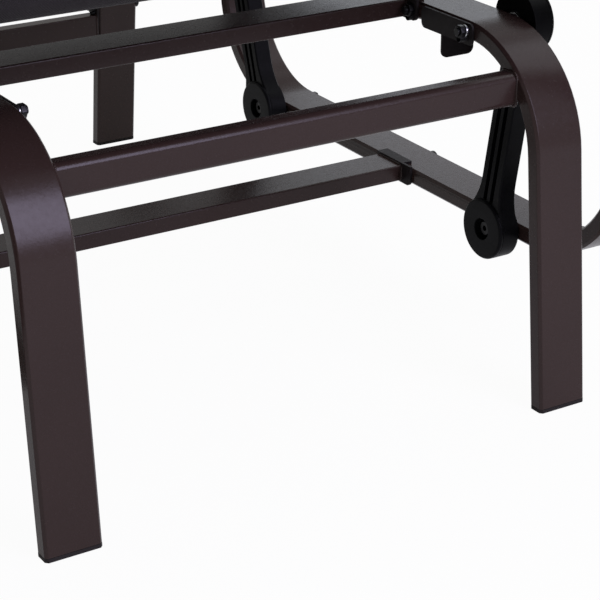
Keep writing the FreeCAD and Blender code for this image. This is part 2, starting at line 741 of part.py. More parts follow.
def cloth_place(run):
    """Middle line of the cloth at a run along the rail: its point and the way to the sitter."""
    straight = SEAT_LENGTH - knee_run
    arc = KNEE_RADIUS * knee_turn
    enter = rail_front + toward(-SEAT_DROP) * straight
    centre = enter + toward(math.pi / 2 - SEAT_DROP) * KNEE_RADIUS
    if run <= straight:
        heading = -SEAT_DROP
        place = rail_front + toward(heading) * run
    elif run <= straight + arc:
        heading = (run - straight) / KNEE_RADIUS - SEAT_DROP
        place = centre - toward(heading + math.pi / 2) * KNEE_RADIUS
    else:
        heading = back_heading
        place = rail_knee + toward(heading) * (knee_run + run - straight - arc)
    return place, toward(heading + math.pi / 2)


def cloth_section(run, sag):
    """Section of the cloth between the two hems, sagging away from the sitter."""
    place, sitter = cloth_place(run)
    upper = place + sitter * (CLOTH_RISE + CLOTH / 2)
    lower = place + sitter * (CLOTH_RISE - CLOTH / 2)
    side = V(rail_half - cloth_hold, 0, 0)
    dip = sitter * -sag
    return Part.Wire([
        Part.Arc(upper - side, upper + dip, upper + side).toShape(),
        Part.makeLine(upper + side, lower + side),
        Part.Arc(lower + side, lower + dip, lower - side).toShape(),
        Part.makeLine(lower - side, upper - side),
    ])


def cloth_panel():
    """Sheet from the front tube to the top tube, nearly flat at both and sagging between them."""
    straight = SEAT_LENGTH - knee_run
    arc = KNEE_RADIUS * knee_turn
    whole = straight + arc + BACK_LENGTH - knee_run
    stations = [(cloth_hold, CLOTH_EDGE_SAG), (cloth_hold + CLOTH_EASE, CLOTH_SAG)]
    for step in range(KNEE_STEPS + 1):
        stations.append((straight + arc * step / KNEE_STEPS, CLOTH_SAG))
    stations.append((whole - cloth_hold - CLOTH_EASE, CLOTH_SAG))
    stations.append((whole - cloth_hold, CLOTH_EDGE_SAG))
    sections = [cloth_section(run, sag) for run, sag in stations]
    strips = [Part.makeLoft([near, far], True, True) for near, far in zip(sections, sections[1:])]
    return strips[0].multiFuse(strips[1:])


def sling():
    """Panel with a hem round each rail and round the front and top tubes."""
    inner = SLING_TUBE + CLOTH_CLEAR
    outer = inner + CLOTH
    cloth = cloth_panel()
    rails = both(rail_run(rail_half, 0, inner + COPE_GAP))
    front_wrap = seat_inner - WRAP_END_GAP
    top_wrap = rail_half - WRAP_INSET
    cloth = cloth.fuse(largest(drilled(ring(outer, inner, -front_wrap, front_wrap, rail_front), rails)))
    cloth = cloth.fuse(ring(outer, inner, -top_wrap, top_wrap, rail_top))
    cuts = []
    for points in (seat_spreader, back_spreader):
        cuts.append(round_tube(points, SPREADER_BEND, SPREADER_TUBE + CLOTH_CLEAR))
    for x in (-rail_half, rail_half):
        hem = rail_run(x, HEM_GAP, outer, eight_sided).cut(rail_run(x, HEM_GAP / 2, inner, eight_sided))
        passage = rod(SPACER_RADIUS + CLOTH_CLEAR, x, math.copysign(seat_inner, x), rear_mount)
        cloth = cloth.fuse(largest(drilled(hem, cuts + [passage])))
    return cloth


# Assembly

loop_bend = hang(Part.Vertex(V(0, loop_front + seat_bend, loop_high - seat_bend))).Point
hem_front = hang(Part.Vertex(rail_front)).Point.y - (SLING_TUBE + CLOTH_CLEAR + CLOTH)
front_most = min(loop_bend.y - SEAT_BEND_OUTER, hem_front, -BASE_DEPTH / 2)
y_middle = (BASE_DEPTH / 2 + front_most) / 2


def save(name, solids):
    shape = solids[0].copy() if len(solids) == 1 else Part.makeCompound(solids)
    shape.translate(V(0, -y_middle, 0))
    shape.exportStep("parts/" + name + ".step")


def save_pair(name, shape):
    save(name + "_left", [mirrored(shape)])
    save(name + "_right", [shape])


def save_base():
    frame, plugs = base_side()
    save_pair("base_side", frame)
    save("foot_plugs", [twin for plug in plugs for twin in both(plug)])
    inner = BASE_HALF_INNER
    plate_face = inner - PLATE
    save("front_crossbar", [bar_across(-inner, inner, front_bar, FRONT_BAR_DEPTH, FRONT_BAR_HEIGHT,
                                       FRONT_BAR_CORNER)])
    save("upper_crossbar", [bar_across(-plate_face, plate_face, upper_bar, UPPER_BAR_DEPTH, TUBE_THICK,
                                       BAR_CORNER)])
    save("rear_crossbar", [bar_across(-plate_face, plate_face, rear_bar, REAR_BAR_DEPTH, REAR_BAR_HEIGHT,
                                      BAR_CORNER)])
    save("upper_crossbar_brackets", both(upper_bracket()))
    save("rear_crossbar_brackets", both(rear_bracket()))
    bolts = []
    nuts = []
    for place in (upper_bolt, rear_bolt):
        bolt, fixing = bar_fasteners(place, base_outer, inner)
        bolts += both(bolt)
        nuts += both(fixing)
    save("crossbar_bolts", bolts)
    save("crossbar_nuts", nuts)
    save_pair("stop_bracket", stop_bracket())


def save_upper_pivots():
    bolts = []
    washers = []
    sleeves = []
    nuts = []
    for top in (front_top, rear_top):
        bolt, washer, sleeve, fixing = upper_pivot(top)
        bolts += both(bolt)
        washers += both(washer)
        sleeves += both(sleeve)
        nuts += both(fixing)
    save("upper_pivot_bolts", bolts)
    save("upper_pivot_washers", washers)
    save("upper_pivot_sleeves", sleeves)
    save("upper_pivot_nuts", nuts)


def save_arms():
    body = arm_body()
    covers = arm_covers()
    ends = (("front", front_lean, front_top, RUNNING_CLEAR), ("rear", rear_lean, rear_top, OPEN_PIVOT_CLEAR))
    for end, lean, top, clear in ends:
        save_pair("link_arm_" + end, swung(body, lean, top))
        pieces = {"arm_covers_": covers, "arm_bushes_": arm_bushes(clear)}
        for name, solids in pieces.items():
            placed = [swung(solid, lean, top) for solid in solids]
            save(name + end + "_left", [mirrored(solid) for solid in placed])
            save(name + end + "_right", placed)


def save_lower_pivots():
    bolts = []
    washers = []
    nuts = []
    for low in (front_level, rear_level):
        bolt, washer, fixing = lower_pivot(low)
        bolts += both(hang(bolt))
        washers += both(hang(washer))
        nuts += both(hang(fixing))
    save("lower_pivot_bolts", bolts)
    save("lower_pivot_washers", washers)
    save("lower_pivot_nuts", nuts)


def save_seat_frame():
    save_pair("seat_side", hang(seat_loop()))
    plate_face = seat_inner - PLATE
    rail = bar_across(-plate_face, plate_face, cross_rail, CROSS_RAIL_DEPTH, TUBE_THICK, BAR_CORNER)
    save("seat_cross_rail", [hang(rail)])
    save("cross_rail_brackets", both(hang(cross_bracket())))
    bolt, fixing = bar_fasteners(cross_rail, seat_outer, seat_inner)
    save("cross_rail_bolts", both(hang(bolt)))
    save("cross_rail_nuts", both(hang(fixing)))


def save_sling_frame():
    bore = SLING_TUBE - SLING_WALL
    front_end = seat_inner - FACE_CLEAR
    top_end = rail_half + SLING_TUBE
    front_skin = rod(SLING_TUBE + COPE_GAP, -front_end, front_end, rail_front)
    top_skin = rod(SLING_TUBE + COPE_GAP, -top_end, top_end, rail_top)
    save("front_tube", [hang(ring(SLING_TUBE, bore, -front_end, front_end, rail_front))])
    save("top_tube", [hang(ring(SLING_TUBE, bore, -top_end, top_end, rail_top))])
    save_pair("sling_rail", hang(sling_rail(front_skin, top_skin)))
    skins = both(rail_run(rail_half, 0, SLING_TUBE))
    save("seat_spreader", [hang(spreader(seat_spreader, skins))])
    save("back_spreader", [hang(spreader(back_spreader, skins))])
    insert_start = front_end - INSERT_LENGTH
    insert = ring(bore - PLUG_CLEAR, FRAME_BOLT + PRESS_CLEAR, insert_start, front_end, rail_front)
    save("front_tube_inserts", both(hang(insert)))
    save("back_spacers", both(hang(back_spacer())))
    save("frame_bolts", both(hang(frame_bolt(rail_front))) + both(hang(frame_bolt(rear_mount))))
    save("top_tube_caps", both(hang(end_cap())))
    save("sling", [hang(sling())])


os.makedirs("parts", exist_ok=True)
save_base()
save_upper_pivots()
save_arms()
save_lower_pivots()
save_seat_frame()
save_sling_frame()
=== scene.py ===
"""Looks of the glider chair: finishes, a sewn sling, welds, threads, floor, light and camera."""
import math
import random

import bpy
from mathutils import Matrix, Vector


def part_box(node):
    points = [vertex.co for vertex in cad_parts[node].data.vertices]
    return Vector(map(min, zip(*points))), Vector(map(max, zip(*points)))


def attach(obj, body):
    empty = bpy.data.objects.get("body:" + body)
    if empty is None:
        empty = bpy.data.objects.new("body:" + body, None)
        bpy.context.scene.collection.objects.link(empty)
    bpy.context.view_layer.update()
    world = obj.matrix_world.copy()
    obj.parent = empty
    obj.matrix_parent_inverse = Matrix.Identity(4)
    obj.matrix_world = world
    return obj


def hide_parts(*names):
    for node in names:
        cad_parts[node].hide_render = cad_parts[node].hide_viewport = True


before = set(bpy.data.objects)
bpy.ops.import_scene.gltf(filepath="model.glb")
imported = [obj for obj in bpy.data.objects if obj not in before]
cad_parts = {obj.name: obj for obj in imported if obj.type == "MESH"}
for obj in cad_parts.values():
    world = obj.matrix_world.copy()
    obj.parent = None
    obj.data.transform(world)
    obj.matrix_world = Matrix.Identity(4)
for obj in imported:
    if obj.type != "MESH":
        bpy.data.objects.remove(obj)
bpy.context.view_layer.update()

# Camera: place in metres, angles in degrees, lens and sensor in millimetres
CAMERA_PLACE = (-0.7655, -1.5505, 0.747)
CAMERA_HEADING = 32.43
CAMERA_DOWN = 23.41
CAMERA_ROLL = 0.17
CAMERA_LENS = 121.72
CAMERA_SENSOR = 36.0
CAMERA_CLIP = (0.05, 100.0)

# Lamps: place, target, width, height, watts and colour
LAMPS = {
    "overhead": ((0.3, 0.6, 2.4), (0, 0, 0.3), 2.4, 2.0, 11.0, (1, 1, 1)),
    "window": ((0.85, -2.75, 1.70), (0, -0.2, 0.3), 1.25, 1.85, 60.0, (0.775, 0.72, 1.0)),
    "right_top": ((1.6, -0.4, 2.0), (0.1, -0.2, 0.3), 1.2, 1.2, 6.0, (0.93, 0.95, 1.0)),
    "back_right": ((3.0, 2.9, 1.35), (0.2, 0.0, 0.2), 1.7, 1.2, 5.2, (0.83, 0.89, 1.0)),
}

# Floor and world: colour or light, then the share of white that the camera sees and that gloss shows of it
WHITE = (1, 1, 1, 1)
FLOOR_SIZE = 40.0
FLOOR_COLOUR = (0.86, 0.86, 0.86, 1)
FLOOR_WHITE = 0.96
FLOOR_IN_GLOSS = 0.42
WORLD_LIGHT = 0.34
WORLD_WHITE = 1.0
WORLD_IN_GLOSS = 0.15

# Edges of the metal and plastic pieces
EDGE_ROUND = 0.0007
EDGE_SEGMENTS = 2
TUBE_EDGE_ROUND = 0.0010
TUBE_EDGE_SEGMENTS = 3
EDGE_ANGLE = math.radians(32)
MERGE_DISTANCE = 0.00002
NORMAL_WEIGHT = 60

# Wear on edges: samples, and how far the rounded and true normals agree at full wear and at none
WEAR_SAMPLES = 6
WEAR_FULL = 0.80
WEAR_NONE = 0.985

# The range that holds most values of a noise texture
NOISE_LOW = 0.3
NOISE_HIGH = 0.7

# Sling frame in the side view, angles in degrees
SEAT_TILT = math.degrees(0.015008)
SEAT_DROP = 5.0
BACK_RECLINE = 18.0
KNEE_RADIUS = 0.100

# Sling cloth
CLOTH = 0.0011
CLOTH_CLEAR = 0.0004
CLOTH_SAG = 0.0160
SAG_EASE = 0.110
WEAVE_PITCH = 0.0018
PUCKER = 0.00045
PUCKER_PITCH = 0.041
PUCKER_REACH = 0.028
ROW_STEP = 0.008
COLUMN_COUNT = 54

# Hems round the rails and tubes, and the two tabs that carry the front hem past the rails
HEM_GAP = 0.030
HEM_FLAP = 0.036
HEM_ALLOWANCE = 0.007
WRAP_INSET = 0.018
WRAP_STEPS = 16
FLAP_STEPS = 4
HEM_COUNT = WRAP_STEPS + FLAP_STEPS + 1
TAB_END_GAP = 0.003
TAB_STEP = 0.0034
TAB_BACK = 0.0065
TAB_UNDER = math.radians(198)
SAME_RUN = 1e-6

# Cuts in the side hems: half their length, and the angle round the rail where they start
SPREADER_CUT = (0.016, math.radians(100))
SPACER_CUT = (0.013, math.radians(45))

# Stitches of the hems: the profile gives a share of the length, then rise and width in thread radii
STITCH_PITCH = 0.0044
STITCH_LENGTH = 0.0034
STITCH_RADIUS = 0.00042
STITCH_ROWS = (-0.0025, 0.0025)
STITCH_SIDES = 5
STITCH_PROFILE = ((0.0, -1.2, 0.5), (0.22, 0.3, 1.0), (0.78, 0.3, 1.0), (1.0, -1.2, 0.5))

# Weld beads: sizes, then shares of the radius and how the wander drifts from step to step
WELD_RADIUS = 0.0012
WELD_RIPPLE = 0.0020
WELD_STEP = 0.0005
WELD_SIDES = 8
WELD_LEAST = 0.86
WELD_SWELL = 0.22
WELD_WANDER = 0.12
WANDER_KEPT = 0.94
WANDER_REACH = 3
WELD_SEED = 7

# Seams that the beads follow
BAR_CORNER_SHARE = 0.22
BAR_CORNER_STEPS = 4
SADDLE_STEPS = 48
SADDLE_START = 0.05

# Bolt threads: the profile gives a share of the pitch and of the rise
THREAD_PITCH = 0.0010
THREAD_RISE = 0.00025
THREAD_RADIUS = 0.003
THREAD_STEPS = 20
THREAD_FADE = 6
THREAD_PROFILE = ((0.0, -0.2), (0.5, 1.0), (1.0, -0.2))
BOLTS_APART = 0.012


def side(angle):
    """Unit vector in the side view, its angle in radians from straight back, up positive."""
    return Vector((0, math.cos(angle), math.sin(angle)))


def middle(node):
    """Middle of a node's box."""
    low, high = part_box(node)
    return (low + high) / 2


# Shader building

class Nodes:
    """A node tree with a few short ways to add and link nodes."""

    def __init__(self, tree):
        self.tree = tree

    def add(self, kind, **settings):
        node = self.tree.nodes.new("ShaderNode" + kind)
        for name, value in settings.items():
            setattr(node, name, value)
        return node

    def put(self, socket, value):
        """Links a socket to another one, or sets its value."""
        if isinstance(value, bpy.types.NodeSocket):
            self.tree.links.new(value, socket)
        else:
            socket.default_value = value

    def feed(self, node, **values):
        """Links or sets a node's inputs by name."""
        for name, value in values.items():
            self.put(node.inputs[name.replace("_", " ")], value)
        return node

    def math(self, operation, first, second=0.0):
        node = self.add("Math", operation=operation)
        for socket, value in zip(node.inputs, (first, second)):
            self.put(socket, value)
        return node.outputs["Value"]


class Shader(Nodes):
    """A Principled material and the textures that drive it."""

    def __init__(self, name, **sockets):
        self.material = bpy.data.materials.new(name)
        self.material.use_nodes = True
        super().__init__(self.material.node_tree)
        self.surface = self.tree.nodes["Principled BSDF"]
        self.feed(self.surface, **sockets)
        coordinates = self.add("TexCoord")
        self.place = coordinates.outputs["Object"]
        self.uv = coordinates.outputs["UV"]

    def noise(self, scale, detail=2.0, place=None):
        node = self.feed(self.add("TexNoise"), Vector=place or self.place, Scale=scale, Detail=detail)
        return node.outputs["Fac"]

    def stretched(self, scale):
        """The object's coordinates, scaled by axis."""
        return self.feed(self.add("Mapping"), Vector=self.place, Scale=scale).outputs["Vector"]

    def ramp(self, factor, stops):
        node = self.feed(self.add("ValToRGB"), Fac=factor)
        while len(node.color_ramp.elements) < len(stops):
            node.color_ramp.elements.new(0.5)
        for element, (position, colour) in zip(node.color_ramp.elements, stops):
            element.position = position
            element.color = (*colour, 1)
        return node.outputs["Color"]

    def span(self, factor, low, high, start=NOISE_LOW, end=NOISE_HIGH):
        """Stretches the factor's range from start to end so that it runs from low to high."""
        limits = {"From_Min": start, "From_Max": end, "To_Min": low, "To_Max": high}
        return self.feed(self.add("MapRange"), Value=factor, **limits).outputs["Result"]

    def mix(self, factor, first, second):
        """Two colours mixed, each a socket or three numbers."""
        node = self.add("Mix", data_type="RGBA")
        inputs = {socket.identifier: socket for socket in node.inputs}
        self.put(inputs["Factor_Float"], factor)
        for name, colour in (("A_Color", first), ("B_Color", second)):
            linked = isinstance(colour, bpy.types.NodeSocket)
            self.put(inputs[name], colour if linked else (*colour, 1))
        return next(socket for socket in node.outputs if socket.identifier == "Result_Color")

    def bump(self, height, strength, distance, under=None):
        node = self.feed(self.add("Bump"), Height=height, Strength=strength, Distance=distance)
        if under:
            self.feed(node, Normal=under)
        return node.outputs["Normal"]

    def worn(self, radius, patches):
        """Wear along the sharp edges, broken up by patches."""
        soft = self.feed(self.add("Bevel", samples=WEAR_SAMPLES), Radius=radius).outputs["Normal"]
        true = self.add("NewGeometry").outputs["Normal"]
        agree = self.add("VectorMath", operation="DOT_PRODUCT")
        for socket, normal in zip(agree.inputs, (soft, true)):
            self.put(socket, normal)
        edges = self.span(agree.outputs["Value"], 1.0, 0.0, WEAR_FULL, WEAR_NONE)
        return self.math("MULTIPLY", edges, patches)

    def finished(self, colour, roughness, normal):
        self.feed(self.surface, Base_Color=colour, Roughness=roughness, Normal=normal)
        return self.material


# Materials: colours are linear, lengths in metres and noise scales per metre

def powder_coat():
    """Dark brown powder coat: faint tone drift, orange peel and edges where the coat is thin."""
    dark = (0.031, 0.0181, 0.0153)
    light = (0.037, 0.0218, 0.0184)
    fleck = (0.062, 0.046, 0.046)
    thin = (0.085, 0.066, 0.062)
    coat = Shader("powder_coat", Specular_IOR_Level=0.22, IOR=1.5)
    speck = coat.noise(1500.0, 1.0)
    tone = coat.ramp(coat.noise(5.0, 3.0), [(0.35, dark), (0.65, light)])
    tone = coat.mix(coat.span(speck, 0.0, 0.30, 0.52, 0.80), tone, fleck)
    rubbed = coat.worn(0.0012, coat.span(coat.noise(90.0, 3.0), 0.0, 0.5, 0.45, 0.75))
    tone = coat.mix(rubbed, tone, thin)
    rough = coat.span(coat.noise(260.0), 0.22, 0.28)
    peel = coat.bump(coat.noise(520.0), 0.10, 0.0004)
    grain = coat.bump(speck, 0.08, 0.0002, peel)
    return coat.finished(tone, rough, grain)


def bracket_paint():
    """Thin matt black paint over pressed steel, worn on the edges."""
    dark = (0.0180, 0.0150, 0.0148)
    light = (0.0240, 0.0202, 0.0198)
    bare = (0.060, 0.058, 0.056)
    paint = Shader("bracket_paint", Specular_IOR_Level=0.07, IOR=1.5)
    tone = paint.ramp(paint.noise(60.0, 3.0), [(0.35, dark), (0.68, light)])
    rubbed = paint.worn(0.0008, paint.span(paint.noise(240.0), 0.0, 0.5))
    tone = paint.mix(rubbed, tone, bare)
    rough = paint.span(paint.noise(420.0), 0.36, 0.48)
    skin = paint.bump(paint.noise(1100.0), 0.12, 0.0002)
    return paint.finished(tone, rough, skin)


def moulded_plastic(name, dark, light, rough, grain):
    """Satin moulding with a fine spark-eroded grain and faint flow marks."""
    scuff = (0.045, 0.045, 0.048)
    plastic = Shader(name, Specular_IOR_Level=0.06, IOR=1.5)
    flow = plastic.noise(7.0, place=plastic.stretched((2.0, 2.0, 9.0)))
    tone = plastic.ramp(flow, [(0.35, dark), (0.68, light)])
    rubbed = plastic.worn(0.0010, plastic.span(plastic.noise(160.0), 0.0, 0.4))
    tone = plastic.mix(rubbed, tone, scuff)
    gloss = plastic.span(plastic.noise(340.0), rough - 0.05, rough + 0.06)
    erode = plastic.bump(plastic.noise(1700.0), grain, 0.0002)
    return plastic.finished(tone, gloss, erode)


def black_oxide():
    """Blackened steel fasteners, oily in patches, with lighter edges: bare steel where a tool has rubbed
    them, and painted glints.
    """
    dark = (0.005, 0.005, 0.0055)
    light = (0.014, 0.0135, 0.014)
    # Colour of the edges: bare steel, and a painted glint on the nuts
    bare_and_glint = (0.16, 0.155, 0.15)
    steel = Shader("black_oxide", Metallic=0.55, Specular_IOR_Level=0.4)
    patch = steel.noise(220.0, 3.0)
    tone = steel.ramp(patch, [(0.35, dark), (0.70, light)])
    # Lightened edges: rubbed wear, and painted glints standing in for highlights
    rubbed = steel.worn(0.0006, steel.span(steel.noise(500.0), 0.0, 0.55))
    tone = steel.mix(rubbed, tone, bare_and_glint)
    rough = steel.span(patch, 0.26, 0.40)
    dents = steel.bump(steel.noise(900.0), 0.10, 0.0002)
    return steel.finished(tone, rough, dents)


def bright_zinc():
    """Zinc plate with turning marks and a slight yellow and blue passivation."""
    blue = (0.50, 0.52, 0.55)
    grey = (0.62, 0.62, 0.62)
    yellow = (0.60, 0.57, 0.50)
    zinc = Shader("bright_zinc", Metallic=1.0)
    tone = zinc.ramp(zinc.noise(120.0, 3.0), [(0.30, blue), (0.55, grey), (0.80, yellow)])
    turning = zinc.noise(40.0, place=zinc.stretched((90.0, 2.0, 2.0)))
    rough = zinc.span(turning, 0.18, 0.34)
    marks = zinc.bump(turning, 0.12, 0.0002)
    return zinc.finished(tone, rough, marks)


def mesh_cloth():
    """Coated polyester mesh: round vinyl yarns in a plain weave, with painted shade in the gaps between them.
    """
    dark = (0.012, 0.0098, 0.0104)
    light = (0.018, 0.0146, 0.0154)
    # Painted shade in the gaps between the yarns
    shade_in_gaps = (0.004, 0.0034, 0.0034)
    cloth = Shader("mesh_cloth", Specular_IOR_Level=0.16, Sheen_Weight=0.02, Sheen_Roughness=0.5)
    split = cloth.feed(cloth.add("SeparateXYZ"), Vector=cloth.uv).outputs
    turns = math.tau / WEAVE_PITCH
    across, along = [cloth.math("SINE", cloth.math("MULTIPLY", split[axis], turns)) for axis in "XY"]
    warp_up = cloth.math("GREATER_THAN", cloth.math("MULTIPLY", across, along))
    warp = cloth.math("MULTIPLY", warp_up, cloth.math("ABSOLUTE", across))
    weft = cloth.math("MULTIPLY", cloth.math("SUBTRACT", 1.0, warp_up), cloth.math("ABSOLUTE", along))
    yarn = cloth.math("ADD", warp, weft)
    tone = cloth.ramp(cloth.noise(14.0, 3.0), [(0.35, dark), (0.68, light)])
    # Painted shade: darker where the yarns dip into the gaps of the weave
    tone = cloth.mix(cloth.span(yarn, 0.0, 1.0, 0.10, 0.75), shade_in_gaps, tone)
    rough = cloth.span(cloth.noise(600.0), 0.46, 0.62)
    weave = cloth.bump(yarn, 0.55, 0.0004)
    return cloth.finished(tone, rough, weave)


def sewing_thread():
    """Twisted black polyester thread."""
    dark = (0.010, 0.009, 0.009)
    light = (0.026, 0.023, 0.023)
    thread = Shader("sewing_thread", Specular_IOR_Level=0.3)
    twist = thread.noise(900.0)
    tone = thread.ramp(twist, [(0.35, dark), (0.70, light)])
    rough = thread.span(twist, 0.45, 0.6)
    lay = thread.bump(twist, 0.3, 0.0002)
    return thread.finished(tone, rough, lay)


# Mouldings: dark and light tone, roughness and strength of the grain
MOULDINGS = {
    "arm_plastic": ((0.0028, 0.0029, 0.0032), (0.0046, 0.0047, 0.0052), 0.38, 0.16),
    "cover_plastic": ((0.0045, 0.0046, 0.0051), (0.0070, 0.0071, 0.0078), 0.34, 0.12),
    "plug_plastic": ((0.0225, 0.0198, 0.0192), (0.0290, 0.0256, 0.0250), 0.48, 0.20),
    "bush_plastic": ((0.0200, 0.0200, 0.0205), (0.0300, 0.0300, 0.0310), 0.42, 0.10),
}

finishes = {slot: moulded_plastic(slot, *look) for slot, look in MOULDINGS.items()}
finishes["frame_paint"] = powder_coat()
finishes["black_paint"] = bracket_paint()
finishes["black_hardware"] = black_oxide()
finishes["zinc"] = bright_zinc()
finishes["cloth"] = mesh_cloth()
thread_finish = sewing_thread()


# Mesh helpers

def piece_from(name, verts, faces, body, slot, material=None):
    """Smooth mesh object that rides on a body and takes its finish from a slot."""
    mesh = bpy.data.meshes.new(name)
    mesh.from_pydata(verts, [], faces)
    mesh.validate()
    mesh.polygons.foreach_set("use_smooth", [True] * len(mesh.polygons))
    mesh.materials.append(material or finishes[slot])
    piece = bpy.data.objects.new(name, mesh)
    bpy.context.scene.collection.objects.link(piece)
    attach(piece, body)
    return piece


def tube_faces(first, rings, sides, closed):
    """Quads between rings of points, numbered from the first, with end caps on an open tube."""
    starts = [first + ring * sides for ring in range(rings)]
    follows = starts[1:] + starts[:1] if closed else starts[1:]
    faces = []
    for near, far in zip(starts, follows):
        for step in range(sides):
            turn = (step + 1) % sides
            faces.append((near + step, near + turn, far + turn, far + step))
    if not closed:
        faces.append([starts[0] + step for step in reversed(range(sides))])
        faces.append([starts[-1] + step for step in range(sides)])
    return faces


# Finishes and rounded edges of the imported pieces

def dress_frame():
    for name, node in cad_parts.items():
        for slot in node.material_slots:
            slot.material = finishes[slot.material.name]
        if name == "sling":
            continue
        joined = node.modifiers.new("join", "WELD")
        joined.merge_threshold = MERGE_DISTANCE
        rounded = node.modifiers.new("edges", "BEVEL")
        tube = name.startswith(("base_side", "seat_side"))
        rounded.width = TUBE_EDGE_ROUND if tube else EDGE_ROUND
        rounded.segments = TUBE_EDGE_SEGMENTS if tube else EDGE_SEGMENTS
        rounded.limit_method = "ANGLE"
        rounded.angle_limit = EDGE_ANGLE
        rounded.use_clamp_overlap = True
        shaded = node.modifiers.new("shading", "WEIGHTED_NORMAL")
        shaded.mode = "FACE_AREA"
        shaded.weight = NORMAL_WEIGHT


dress_frame()


# Sling

seat_angle = math.radians(SEAT_TILT - SEAT_DROP)
back_angle = math.radians(SEAT_TILT + 90 - BACK_RECLINE)
knee_turn = back_angle - seat_angle
front_axis = middle("front_tube")
top_axis = middle("top_tube")
rail_half = middle("sling_rail_right").x
tube_low, tube_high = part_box("front_tube")
wrap_radius = (tube_high.z - tube_low.z) / 2 + CLOTH_CLEAR + CLOTH / 2
wrap_half = rail_half - WRAP_INSET
seam_half = rail_half - HEM_FLAP
tab_end = tube_high.x - TAB_END_GAP


def meeting(start, along, end, back):
    """Length along the first line to where it meets the second, in the side view."""
    gap = end - start
    return (gap.y * back.z - gap.z * back.y) / (along.y * back.z - along.z * back.y)


seat_length = meeting(front_axis, side(seat_angle), top_axis, side(back_angle))
knee = front_axis + side(seat_angle) * seat_length
knee_run = KNEE_RADIUS * math.tan(knee_turn / 2)
straight = seat_length - knee_run
arc = KNEE_RADIUS * knee_turn
whole = straight + arc + (top_axis - knee).length - knee_run


def rail_at(run):
    """Point on the rail's axis, the way along it and the way to the sitter."""
    if run <= straight:
        angle = seat_angle
        point = front_axis + side(angle) * run
    elif run <= straight + arc:
        angle = seat_angle + (run - straight) / KNEE_RADIUS
        centre = front_axis + side(seat_angle) * straight + side(seat_angle + math.pi / 2) * KNEE_RADIUS
        point = centre - side(angle + math.pi / 2) * KNEE_RADIUS
    else:
        angle = back_angle
        point = top_axis - side(angle) * (whole - run)
    return point, side(angle), side(angle + math.pi / 2)


def eased(share):
    """Smooth step from nought to one."""
    share = min(max(share, 0.0), 1.0)
    return share * share * (3 - 2 * share)


def clear_of_ends(run):
    """Nought at the front and top tubes, and one away from them."""
    return eased(run / SAG_EASE) * eased((whole - run) / SAG_EASE)


def sag_at(run):
    """Depth of the panel's middle below its edges."""
    return CLOTH_SAG * clear_of_ends(run)


def panel_edge(run):
    """Where the panel leaves the rail: its angle from the top, distance from the middle and height."""
    lean = math.atan2(2 * sag_at(run), rail_half)
    return lean, rail_half - wrap_radius * math.sin(lean), wrap_radius * math.cos(lean)


def panel_height(run, x):
    """Height of the panel's middle surface over the rail's axis, with puckers along the seams."""
    _, edge, height = panel_edge(run)
    share = min(abs(x) / edge, 1.0)
    near_seam = math.exp(-((abs(x) - seam_half) / PUCKER_REACH) ** 2) * clear_of_ends(run)
    pucker = PUCKER * near_seam * math.sin(math.tau * run / PUCKER_PITCH)
    return height - sag_at(run) * (1 - share ** 2) + pucker


def panel_point(run, x, lift=0.0):
    point, _, sitter = rail_at(run)
    return point + sitter * (panel_height(run, x) + lift) + Vector((x, 0, 0))


def leave_angle(reach, height):
    """Angle from the top, round the far side, at which the cloth leaves a tube for its seam."""
    return math.tau + math.atan2(-reach, height) - math.acos(wrap_radius / math.hypot(reach, height))


def wrap_line(start, seam_height, end_height):
    """Cloth round a tube from the start angle to its seam: (outward, height, angle) about the tube's axis."""
    last = leave_angle(HEM_FLAP, seam_height)
    points = []
    for step in range(1, WRAP_STEPS + 1):
        angle = start + (last - start) * step / WRAP_STEPS
        points.append((wrap_radius * math.sin(angle), wrap_radius * math.cos(angle), angle))
    out, height, _ = points[-1]
    for step in range(1, FLAP_STEPS + 1):
        share = step / FLAP_STEPS
        points.append((out - (out + HEM_FLAP) * share, height + (seam_height - height) * share, last))
    points.append((-HEM_FLAP - HEM_ALLOWANCE, end_height, last))
    return points


def side_hem(run):
    """Cloth round a side rail, at a place along it."""
    lean, _, _ = panel_edge(run)
    heights = [panel_height(run, x) - CLOTH for x in (seam_half, seam_half - HEM_ALLOWANCE)]
    return wrap_line(-lean, *heights)


def end_hem(x, at_top):
    """Cloth round the front or top tube, at a distance from the middle."""
    runs = [HEM_FLAP, HEM_FLAP + HEM_ALLOWANCE]
    if at_top:
        runs = [whole - run for run in runs]
    heights = [panel_height(run, x) - CLOTH for run in runs]
    return wrap_line(0.0, *heights)


def run_of(node):
    """Place of a node's middle along the rail."""
    spot = middle(node)
    if spot.z < knee.z + KNEE_RADIUS:
        return (spot - front_axis).dot(side(seat_angle))
    return whole - (top_axis - spot).dot(side(back_angle))


hem_cuts = [(run_of("seat_spreader"), *SPREADER_CUT),
            (run_of("back_spreader"), *SPREADER_CUT),
            (run_of("back_spacers"), *SPACER_CUT)]


def sling_rows():
    """Rows of the cloth's grid from the front seam to the top seam."""
    inner = whole - 2 * HEM_GAP
    count = round(inner / ROW_STEP)
    short = round(HEM_GAP / ROW_STEP) + 1
    runs = [HEM_GAP * step / short for step in range(short)]
    runs += [HEM_GAP + inner * step / count for step in range(count + 1)]
    runs += [whole - HEM_GAP + HEM_GAP * (step + 1) / short for step in range(short)]
    front = [("front", step) for step in reversed(range(HEM_COUNT))]
    return front + [("run", run) for run in runs] + [("top", step) for step in range(HEM_COUNT)]


def sling_columns():
    """Columns of the cloth's grid from the left seam to the right seam."""
    panel = [("panel", wrap_half * (2 * step / COLUMN_COUNT - 1)) for step in range(COLUMN_COUNT + 1)]
    hem = [("edge", 0.5), ("edge", 1.0)] + [("hem", step) for step in range(HEM_COUNT)]
    left = [(kind, (-1, at)) for kind, at in reversed(hem)]
    return left + panel + [(kind, (1, at)) for kind, at in hem]


